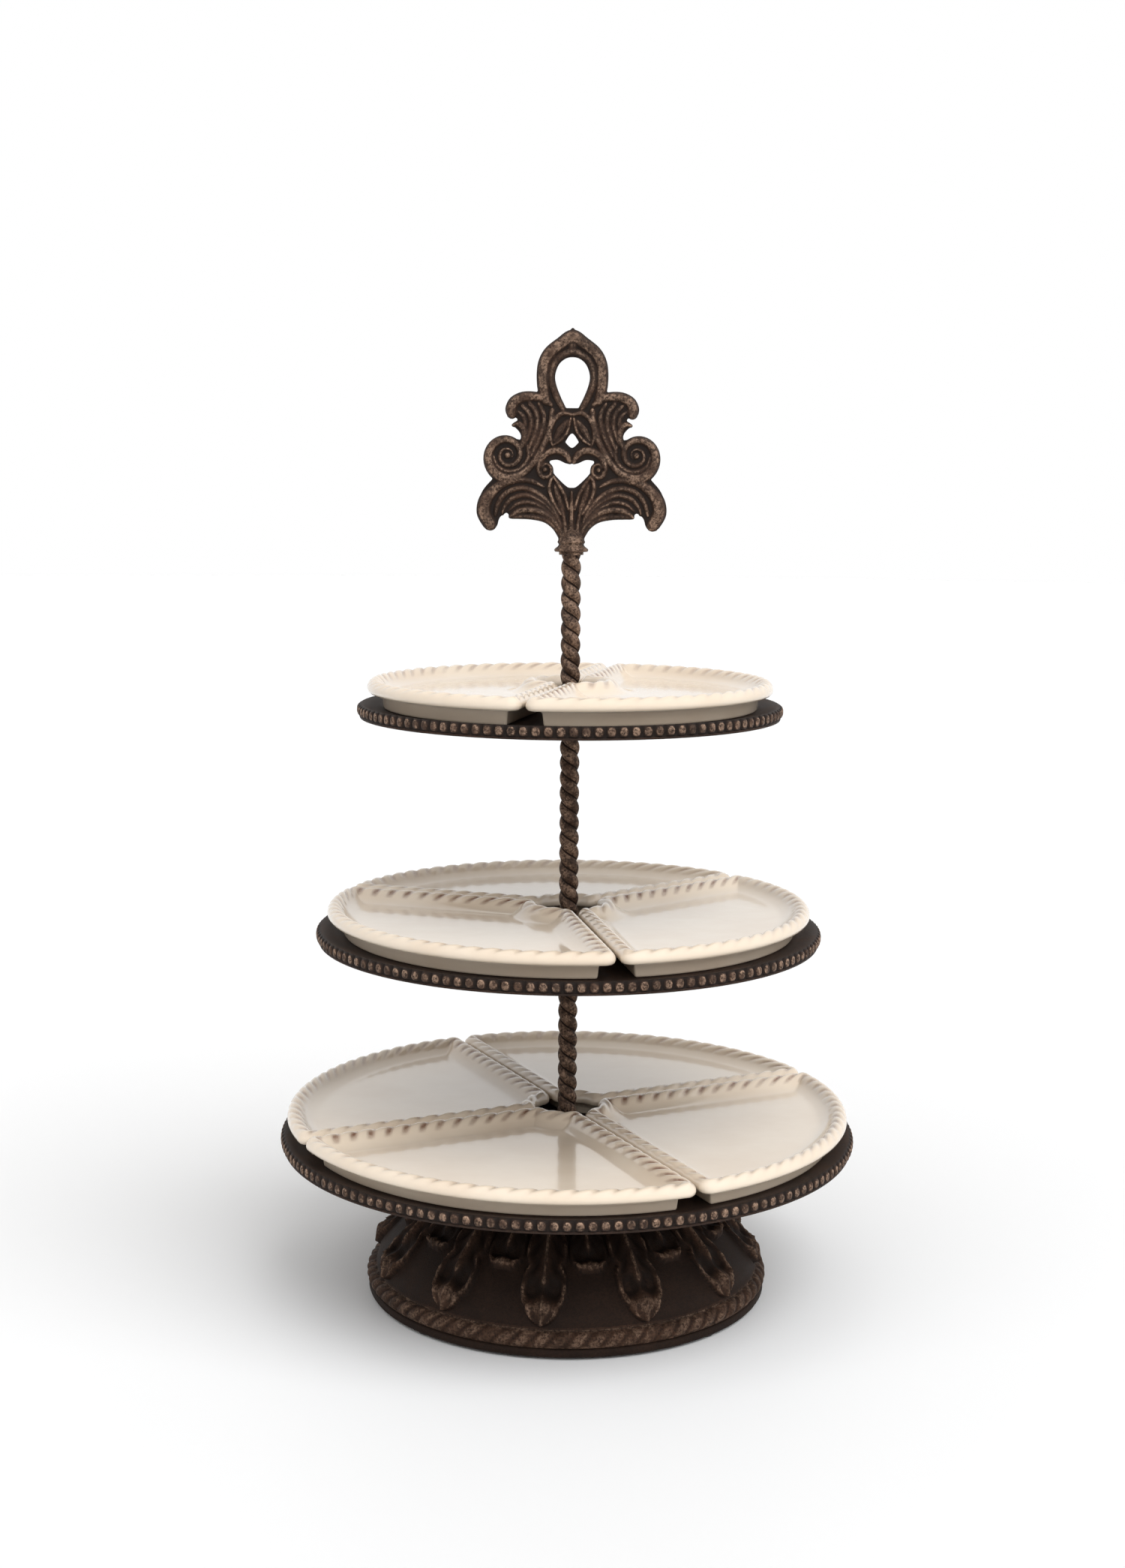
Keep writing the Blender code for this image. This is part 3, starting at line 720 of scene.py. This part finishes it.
def makePedestal():
    low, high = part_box("base_pedestal")
    foot, rise = low.z, high.z - low.z
    curve, rope = bellCurve(foot, rise)
    seat, bore, wall = high.z, pedestal["boreRadius"], pedestal["wall"]
    neck = pedestal["neck"]
    flange = [(157.2, 6.4), (158.5, 6.0), (159.3, 5.0), (159.3, 1.4), (158.6, 0.3), (157.4, 0.0)]
    flange = [(radius * mm, foot + height * mm) for radius, height in flange]
    ceiling = seat - pedestal["seatThickness"]
    ringRadius, ringHeight = pedestal["footRing"]
    inner = [(ringRadius, foot), (ringRadius, foot + ringHeight)]
    inner += [(radius - wall, height - 0.6 * wall) for radius, height in reversed(curve[2:-24:10])]
    inner += [(neck - 1.6 * wall, ceiling), (bore, ceiling)]
    profile = [(bore, seat), (neck - mm, seat)] + curve + rope + flange + inner
    wedge = fullTurn / pedestal["slices"]
    piece = turnProfile("leafPedestal", profile, pedestal["columns"], wedge)
    outer = np.array(curve + rope)
    steps = np.gradient(outer, axis=0)
    normals = np.column_stack((-steps[:, 1], steps[:, 0]))
    normals /= np.hypot(normals[:, 0], normals[:, 1])[:, None]
    places = readPoints(piece)
    radius = np.hypot(places[:, 0], places[:, 1])
    turn = np.arctan2(places[:, 1], places[:, 0])
    gap = np.hypot(radius[:, None] - outer[None, :, 0], places[:, 2][:, None] - outer[None, :, 1])
    nearest = gap.argmin(axis=1)
    onFace = gap.min(axis=1) < 0.02 * mm
    onRope = nearest >= len(curve)
    offCentre = turn - wedge / 2
    offEdge = wedge / 2 - np.abs(offCentre)
    relief = np.maximum(leafRelief(pedestal["longLeaf"], radius, radius * offCentre),
                        leafRelief(pedestal["shortLeaf"], radius, radius * offEdge))
    ropeTurn = np.arctan2(places[:, 2] - foot - pedestal["ropeCentre"][1],
                          radius - pedestal["ropeCentre"][0])
    phase = turn / wedge * pedestal["ropesPerSlice"] - 0.30 * ropeTurn
    groove = 1 - np.abs(np.cos(math.pi * phase)) ** 0.7
    along = (nearest - len(curve)) / (len(rope) - 1)
    twist = -pedestal["ropeDepth"] * groove * np.sin(math.pi * np.clip(along, 0, 1)) ** 0.5
    out = np.where(onFace, np.where(onRope, twist, relief), 0)
    radius += out * normals[nearest, 0]
    height = places[:, 2] + out * normals[nearest, 1]
    writePoints(piece, np.column_stack((radius * np.cos(turn), radius * np.sin(turn), height)))
    # relief for the material: low parts of the leaves and the rope grooves take painted shade, raised parts
    # a painted highlight, the plain bell painted shade
    leafy = np.clip((relief - 1.6 * mm) / (5 * mm), 0, 1)
    crest = np.where(onRope, 1 + twist / pedestal["ropeDepth"],
                     np.where(relief > 0.2 * mm, leafy, pedestal["plainShade"]))
    markPoints(piece, "relief", np.where(onFace, np.clip(crest, 0, 1), pedestal["plainShade"]))
    repeatAround(piece, pedestal["slices"])
    pickUp(piece)
    piece.rotation_euler.z = math.radians(pedestal["firstLeaf"]) - wedge / 2
    bpy.ops.object.transform_apply(rotation=True)
    finishPiece(piece, "stand", "base_pedestal", castMetalInShade, 50)


makePedestal()
print("pedestal ready")


# handle: a pierced plate and laid-on strokes, one side mirrored, fused and softened

handle = {
    "plateHalf": 2.7,          # mm, half the thickness of the plate between the strokes
    "voxel": 0.62 * mm,
    "keptShare": 0.62,         # of the fused faces, to keep the mesh light
    "depthFollowsWidth": 0.3,
    "fullness": 1.3,           # how much wider a stroke is laid than its marks say
    "fullnessLimit": 0.55,     # mm, the most that this adds
    "softenRounds": 2,
    "crestRise": 2.6,          # mm above the plate at which a stroke counts as crest
    "outline": ((9.6, 8.0, 1), (9.4, 11.5), (14.4, 19.5), (24.4, 25.3), (35.6, 25.6), (47.4, 25.2, 1),
                (50.0, 29.6), (55.4, 26.0), (57.6, 19.6), (61.5, 16.2), (68.4, 20.6), (72.2, 33.7),
                (69.0, 46.0), (60.0, 56.6, 1), (64.4, 64.0), (65.9, 73.3), (61.6, 83.0), (52.5, 87.6),
                (44.0, 86.2), (38.4, 85.0, 1), (40.4, 91.0), (45.4, 96.1, 1), (42.0, 99.8),
                (43.4, 102.6, 1), (48.6, 102.8), (50.2, 107.0), (49.3, 112.5), (43.9, 118.0),
                (36.3, 121.1), (24.9, 121.6, 1), (26.2, 132.0), (25.2, 140.5), (21.8, 149.0),
                (17.0, 155.2), (10.9, 160.1), (6.1, 163.2), (2.4, 166.9), (0.0, 170.0, 1)),
    "windows": (
        ((0.0, 109.6), (6.2, 109.6, 1), (11.3, 120.8), (13.5, 132.0), (10.9, 141.6), (5.8, 146.6),
         (0.0, 148.0)),
        ((0.0, 79.4), (5.3, 83.8, 1), (0.0, 90.5)),
        ((0.0, 49.1), (4.6, 50.6), (14.6, 60.9), (17.4, 69.6, 1), (10.8, 70.2), (4.0, 67.4), (0.0, 68.4)),
    ),
    "volute": {"centre": (49.4, 73.6), "reach": 17.4, "decay": 0.00245, "start": 262, "end": 940},
    "collar": ((4.3, 0.0), (12.4, 0.0), (13.2, 0.7), (13.2, 1.9), (12.0, 2.9), (10.6, 4.0), (9.7, 5.2),
               (9.4, 6.0), (10.3, 6.6), (10.9, 7.4), (10.4, 8.3), (9.5, 8.8), (10.1, 9.5), (10.2, 10.2),
               (9.4, 10.9), (8.6, 12.4), (7.4, 15.0), (4.6, 16.8), (0.0, 17.2), (0.0, 13.9), (4.3, 13.9)),
    "boreRadius": 4.3, "boreDepth": 13.8,
}
# strokes of the right half in mm: name, depth from the middle plane, then (x, z, radius)
handleStrokes = (
    ("loopRoll", 6.0, ((20.6, 116, 4.0), (22.4, 126, 4.4), (22.7, 136, 4.5), (21.2, 144.5, 4.6),
                       (16.8, 151.6, 4.8), (8.6, 158, 4.9), (0, 163.4, 5.0))),
    ("loopTip", 4.6, ((0, 157, 4.6), (0, 163.5, 3.4), (0, 168.4, 1.2))),
    ("loopInner", 4.9, ((7.6, 109.5, 2.2), (12.0, 117.5, 2.7), (15.6, 127, 2.8), (16.3, 135, 2.8),
                        (13.2, 144.6, 2.8), (7.0, 149.8, 2.9), (0, 152.2, 3.0))),
    ("upperRoll", 5.9, ((17, 112.4, 2.0), (22.5, 116.6, 3.1), (30, 118.0, 3.7), (38, 117.4, 4.0),
                        (44.2, 114.0, 4.3), (46.6, 109.0, 4.5), (46.4, 105.6, 4.0))),
    ("upperFlute1", 4.9, ((25.4, 112.2, 1.6), (21.8, 104, 2.2), (22.6, 94, 2.2), (26.5, 83.5, 2.0),
                          (31, 74, 1.7))),
    ("upperFlute2", 5.1, ((32.4, 112.4, 1.8), (27.8, 106, 2.4), (26.9, 96, 2.2), (30, 86, 2.0),
                          (34, 77, 1.5))),
    ("upperFlute3", 4.9, ((37.8, 110.6, 1.8), (33, 105.0, 2.3), (31.5, 97, 2.1), (33.5, 89, 1.9),
                          (36.5, 82, 1.4))),
    ("upperFlute4", 4.5, ((41.4, 106.6, 1.4), (37.5, 103.2, 1.9), (36, 97.5, 1.8), (37, 91.5, 1.2))),
    ("upperLobe", 5.4, ((45.0, 96.4, 1.2), (40.8, 97.0, 2.4), (37.4, 93.3, 2.5), (36.8, 87, 2.2),
                        (38.6, 80.5, 1.8))),
    ("scrollStem", 5.7, ((15.5, 107, 2.3), (16.8, 97, 2.6), (19.8, 86, 2.7), (24.6, 76, 2.8),
                         (30.8, 66.6, 2.9), (38.4, 59.6, 3.2), (47.0, 56.3, 3.8))),
    ("scrollInner", 4.9, ((34.0, 80, 1.4), (33.4, 72.5, 1.8), (37.2, 65.8, 1.9), (43.6, 61.9, 1.9),
                          (51.0, 61.6, 1.8), (57.5, 65.6, 1.6), (60.2, 72.4, 1.2))),
    ("lowerRoll", 6.0, ((22, 50.0, 1.4), (31, 54.0, 2.2), (42, 54.8, 2.8), (52, 52.3, 3.6),
                        (60, 47.0, 4.6), (66, 39.3, 5.5), (67.4, 30, 5.8), (63.2, 21.6, 5.4))),
    ("lowerFlute1", 5.0, ((9, 22, 1.6), (14, 33, 2.0), (24, 43.3, 2.2), (37, 48.6, 2.3), (49, 45.8, 2.3),
                          (56.0, 38, 2.1), (58.8, 28.6, 1.5))),
    ("lowerFlute2", 4.7, ((8, 20, 1.5), (13.5, 29, 1.9), (23, 38.2, 2.1), (35, 43.2, 2.2), (45.5, 40.8, 2.0),
                          (51.6, 34.5, 1.7), (53.4, 29.0, 1.2))),
    ("lowerFlute3", 4.5, ((8, 18, 1.4), (13.5, 26, 1.8), (22.5, 33.8, 1.9), (33, 37.8, 2.0), (42, 36.3, 1.8),
                          (48.0, 31.5, 1.2))),
    ("lowerLobe", 5.5, ((7.5, 15, 1.6), (13, 22.8, 2.0), (22, 29.6, 2.5), (32, 32.0, 2.8), (41, 30.8, 2.6),
                        (47, 26.8, 1.4))),
    ("lowerEdge", 4.7, ((8.5, 11.5, 1.5), (12.8, 18.8, 1.8), (20, 24.4, 2.0), (30, 26.7, 2.0),
                        (40, 27.0, 1.8), (46.0, 26.0, 0.9))),
    ("budInner", 5.5, ((2.6, 33, 1.1), (5.2, 42.5, 1.5), (9.5, 50.6, 1.5), (14.0, 57.0, 1.1))),
    ("budOuter", 5.5, ((8.4, 29, 1.1), (14, 38, 1.5), (17.2, 47.5, 1.6), (16.2, 54.4, 1.5),
                       (14.0, 57.4, 1.0))),
    ("budBody", 4.7, ((6.0, 32, 1.4), (10.2, 41.5, 2.8), (12.8, 50, 1.8))),
    ("stemRib", 5.8, ((0, 9, 2.8), (0, 24, 2.2), (0, 38, 1.6), (0, 46.5, 0.9))),
    ("stemSide", 5.2, ((4.6, 9, 2.0), (4.9, 20, 1.8), (7, 31, 1.5), (10.5, 38, 0.9))),
    ("stemEdge", 4.8, ((8.0, 9, 1.6), (8.3, 14, 1.8), (11.2, 21, 1.7), (17, 28, 1.2))),
    ("heartArch", 5.8, ((1.8, 69.4, 2.0), (4.4, 74.0, 2.8), (10, 77.2, 3.1), (17.0, 76.2, 2.9),
                        (23.0, 71.4, 2.5), (25.6, 64.4, 2.2), (23.8, 58.4, 1.9), (19.4, 57.0, 1.7),
                        (16.1, 60.2, 1.5), (16.6, 65.0, 1.4), (20.4, 67.0, 1.2), (23.0, 64.6, 0.9))),
    ("petalOuter", 5.6, ((0.8, 104.6, 1.2), (8, 105.4, 1.8), (14.4, 99.5, 1.9), (17.0, 90, 1.7),
                         (15.6, 82.4, 1.1))),
    ("petalInner", 5.2, ((1.2, 101.5, 1.0), (3.6, 91.8, 1.4), (8.4, 85.4, 1.5), (14.4, 81.4, 1.0))),
    ("petalBody", 4.8, ((4.8, 98.8, 2.2), (9.2, 92.6, 3.6), (13, 86.0, 2.0))),
)
handleBalls = ((49.4, 73.6, 2.9, 6.0), (20.6, 62.6, 2.2, 5.6))


def layStroke(name, depth, marks, steps=6):
    # a curve bevelled round its path, flattened or deepened to the depth asked for
    path = smoothPath([mark[:2] for mark in marks], steps)
    stops = np.linspace(0, len(marks) - 1, len(path))
    girths = np.interp(stops, range(len(marks)), [mark[2] for mark in marks])
    girths = np.minimum(girths * handle["fullness"], girths + handle["fullnessLimit"])
    rounded = []
    for end, inner, girth in ((path[0], path[1], girths[0]), (path[-1], path[-2], girths[-1])):
        away = Vector(end) - Vector(inner)
        away.normalize()
        rounded.append([(*(Vector(end) + away * girth * math.sin(turn)), girth * math.cos(turn))
                        for turn in (0.6, 1.1, 1.45)])
    full = list(reversed(rounded[0])) + [(x, z, girth) for (x, z), girth in zip(path, girths)] + rounded[1]
    curve = bpy.data.curves.new(name, "CURVE")
    curve.dimensions = "3D"
    curve.bevel_depth = mm
    curve.bevel_resolution = 3
    curve.use_fill_caps = True
    spline = curve.splines.new("POLY")
    spline.points.add(len(full) - 1)
    for point, (x, z, girth) in zip(spline.points, full):
        point.co = (x * mm, 0, z * mm, 1)
        point.radius = girth
    stroke = bpy.data.objects.new(name, curve)
    bpy.context.scene.collection.objects.link(stroke)
    pickUp(stroke)
    bpy.ops.object.convert(target="MESH")
    stroke = bpy.context.object
    places = readPoints(stroke)
    route = np.array([point[:2] for point in full]) * mm
    widths = np.array([point[2] for point in full])
    nearest = np.hypot(places[:, None, 0] - route[:, 0], places[:, None, 2] - route[:, 1]).argmin(axis=1)
    width = np.maximum(widths[nearest], 0.05)
    deep = depth * np.minimum(1, (width / max(girths)) ** handle["depthFollowsWidth"])
    places[:, 1] = np.clip(places[:, 1] * deep / width, -deep * mm, deep * mm)
    writePoints(stroke, places)
    return stroke


def layVolute():
    volute = handle["volute"]
    marks = []
    for degrees in range(volute["start"], volute["end"], 26):
        reach = volute["reach"] * math.exp(-volute["decay"] * (degrees - 290))
        turn = math.radians(degrees)
        marks.append((volute["centre"][0] + reach * math.cos(turn),
                      volute["centre"][1] + reach * math.sin(turn), 0.05 + 0.245 * reach))
    return layStroke("volute", 6.0, marks, 3)


def layBall(x, z, girth, depth):
    clearSelection()
    bpy.ops.mesh.primitive_ico_sphere_add(subdivisions=3, radius=girth * mm, location=(x * mm, 0, z * mm))
    ball = bpy.context.object
    ball.scale.y = depth / girth
    bpy.ops.object.transform_apply(location=True, scale=True)
    return ball


def cutPlate():
    # flat curve with its windows, filled and thickened
    curve = bpy.data.curves.new("handlePlate", "CURVE")
    curve.dimensions = "2D"
    curve.fill_mode = "BOTH"
    curve.extrude = handle["plateHalf"] * mm
    for half in (handle["outline"],) + handle["windows"]:
        side = smoothPath(half, 5)
        loop = side + [(-x, z) for x, z in reversed(side) if x > 0.01]
        spline = curve.splines.new("POLY")
        spline.points.add(len(loop) - 1)
        spline.use_cyclic_u = True
        for point, (x, z) in zip(spline.points, loop):
            point.co = (x * mm, z * mm, 0, 1)
    plate = bpy.data.objects.new("handlePlate", curve)
    bpy.context.scene.collection.objects.link(plate)
    pickUp(plate)
    bpy.ops.object.convert(target="MESH")
    plate = bpy.context.object
    plate.rotation_euler.x = math.pi / 2
    bpy.ops.object.transform_apply(rotation=True)
    tidyFaces(plate)
    return plate


def makeHandle():
    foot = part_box("handle")[0].z
    half = [layStroke(name, depth, marks) for name, depth, marks in handleStrokes]
    half.append(layVolute())
    half += [layBall(*ball) for ball in handleBalls]
    clearSelection()
    for stroke in half:
        stroke.select_set(True)
    bpy.context.view_layer.objects.active = half[0]
    bpy.ops.object.join()
    piece = bpy.context.object
    piece.name = "scrollHandle"
    other = piece.modifiers.new("OtherHalf", "MIRROR")
    other.use_mirror_merge = False
    applyAll(piece)
    plate = cutPlate()
    profile = [(radius * mm, height * mm) for radius, height in handle["collar"]]
    collar = turnProfile("collar", profile, 64)
    clearSelection()
    for part in (plate, collar, piece):
        part.select_set(True)
    bpy.context.view_layer.objects.active = piece
    bpy.ops.object.join()
    fuse = piece.modifiers.new("Fuse", "REMESH")
    fuse.mode = "VOXEL"
    fuse.voxel_size = handle["voxel"]
    soften = piece.modifiers.new("Soften", "SMOOTH")
    soften.factor = 0.5
    soften.iterations = handle["softenRounds"]
    thin = piece.modifiers.new("Thin", "DECIMATE")
    thin.ratio = handle["keptShare"]
    applyAll(piece)
    clearSelection()
    bpy.ops.mesh.primitive_cylinder_add(vertices=40, radius=handle["boreRadius"] * mm,
                                        depth=2 * handle["boreDepth"] * mm)
    drill = bpy.context.object
    bore = piece.modifiers.new("Bore", "BOOLEAN")
    bore.operation = "DIFFERENCE"
    bore.object = drill
    applyAll(piece)
    bpy.data.objects.remove(drill)
    pickUp(piece)
    piece.location.z = foot
    bpy.ops.object.transform_apply(location=True)
    # relief for the material: the plate between the strokes takes painted shade, stroke crests a painted
    # highlight
    thick = np.abs(readPoints(piece)[:, 1]) / mm
    raised = np.clip((thick - handle["plateHalf"]) / handle["crestRise"], 0, 1)
    markPoints(piece, "relief", np.where(thick < handle["plateHalf"] - 0.4, 0.5, raised))
    finishPiece(piece, "handle", "handle", castMetal, 60)


makeHandle()
print("handle ready")


# kept fasteners and pads

for keptNode in ("base_washer", "base_bolt", "middle_tray_stud", "top_tray_stud", "handle_stud"):
    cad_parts[keptNode].material_slots[0].material = zincSteel
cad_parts["handle_washer"].material_slots[0].material = castPlain
for number in range(1, 5):
    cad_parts[f"foot_pad_{number}"].material_slots[0].material = padFelt


# studio

studio = {
    "floorSize": 14.0,
    "domeSize": 16.0,
    "floorTones": ((0.89, 0.905, 0.92, 1), (0.90, 0.915, 0.93, 1)),
    "airTint": (1.0, 0.955, 0.91, 1),
    "airStrength": 0.40,
    # degrees round from the front, degrees up, degrees wide, strength
    "softboxes": {"keyBox": (46, 47, 56, 2.0), "leftBox": (-24, 52, 70, 1.1)},
    "lens": 48.0,
    "cameraPlace": (-0.0055, -1.6295, 0.6382),
    "cameraDip": 0.14,         # radians below level
    "cameraRoll": 0.4,         # degrees
}


def makeFloor():
    clearSelection()
    bpy.ops.mesh.primitive_circle_add(vertices=96, radius=studio["floorSize"], fill_type="NGON")
    floor = bpy.context.object
    floor.name = "studioFloor"
    material, wire, shader = startMaterial("paleFloor", {"Roughness": 0.6, "Specular IOR Level": 0.2})
    plug(wire.mix(wire.noise(3, 2), *studio["floorTones"]), shader, "Base Color")
    floor.data.materials.append(material)


def makeDome():
    # white paper all round, seen and mirrored in the glaze, which lights nothing
    clearSelection()
    bpy.ops.mesh.primitive_uv_sphere_add(segments=48, ring_count=24, radius=studio["domeSize"])
    dome = bpy.context.object
    dome.name = "studioPaper"
    material = bpy.data.materials.new("whitePaper")
    material.use_nodes = True
    shader = material.node_tree.nodes["Principled BSDF"]
    shader.inputs["Base Color"].default_value = (0, 0, 0, 1)
    shader.inputs["Emission Color"].default_value = (1, 1, 1, 1)
    shader.inputs["Emission Strength"].default_value = 1.0
    shader.inputs["Specular IOR Level"].default_value = 0.0
    dome.data.materials.append(material)
    for ray in ("visible_diffuse", "visible_transmission", "visible_shadow"):
        setattr(dome, ray, False)


def makeLights():
    for name, (turn, rise, spread, power) in studio["softboxes"].items():
        lamp = bpy.data.lights.new(name, "SUN")
        lamp.energy = power
        lamp.angle = math.radians(spread)
        side, up = math.radians(turn - 90), math.radians(rise)
        toLight = Vector((math.cos(up) * math.cos(side), math.cos(up) * math.sin(side), math.sin(up)))
        holder = bpy.data.objects.new(name, lamp)
        holder.rotation_euler = toLight.to_track_quat("Z", "Y").to_euler()
        bpy.context.scene.collection.objects.link(holder)
    world = bpy.data.worlds.new("studioAir")
    world.use_nodes = True
    air = world.node_tree.nodes["Background"]
    air.inputs["Color"].default_value = studio["airTint"]
    air.inputs["Strength"].default_value = studio["airStrength"]
    bpy.context.scene.world = world
    bpy.context.scene.view_settings.view_transform = "Standard"


def makeCamera():
    lens = bpy.data.cameras.new("frontView")
    lens.lens = studio["lens"]
    lens.sensor_width = 36.0
    camera = bpy.data.objects.new("frontView", lens)
    camera.location = studio["cameraPlace"]
    level = Matrix.Rotation(math.pi / 2 - studio["cameraDip"], 4, "X")
    roll = Matrix.Rotation(math.radians(studio["cameraRoll"]), 4, "Z")
    camera.rotation_euler = (level @ roll).to_euler()
    bpy.context.scene.collection.objects.link(camera)
    bpy.context.scene.camera = camera


makeFloor()
makeDome()
makeLights()
makeCamera()
print("studio ready")
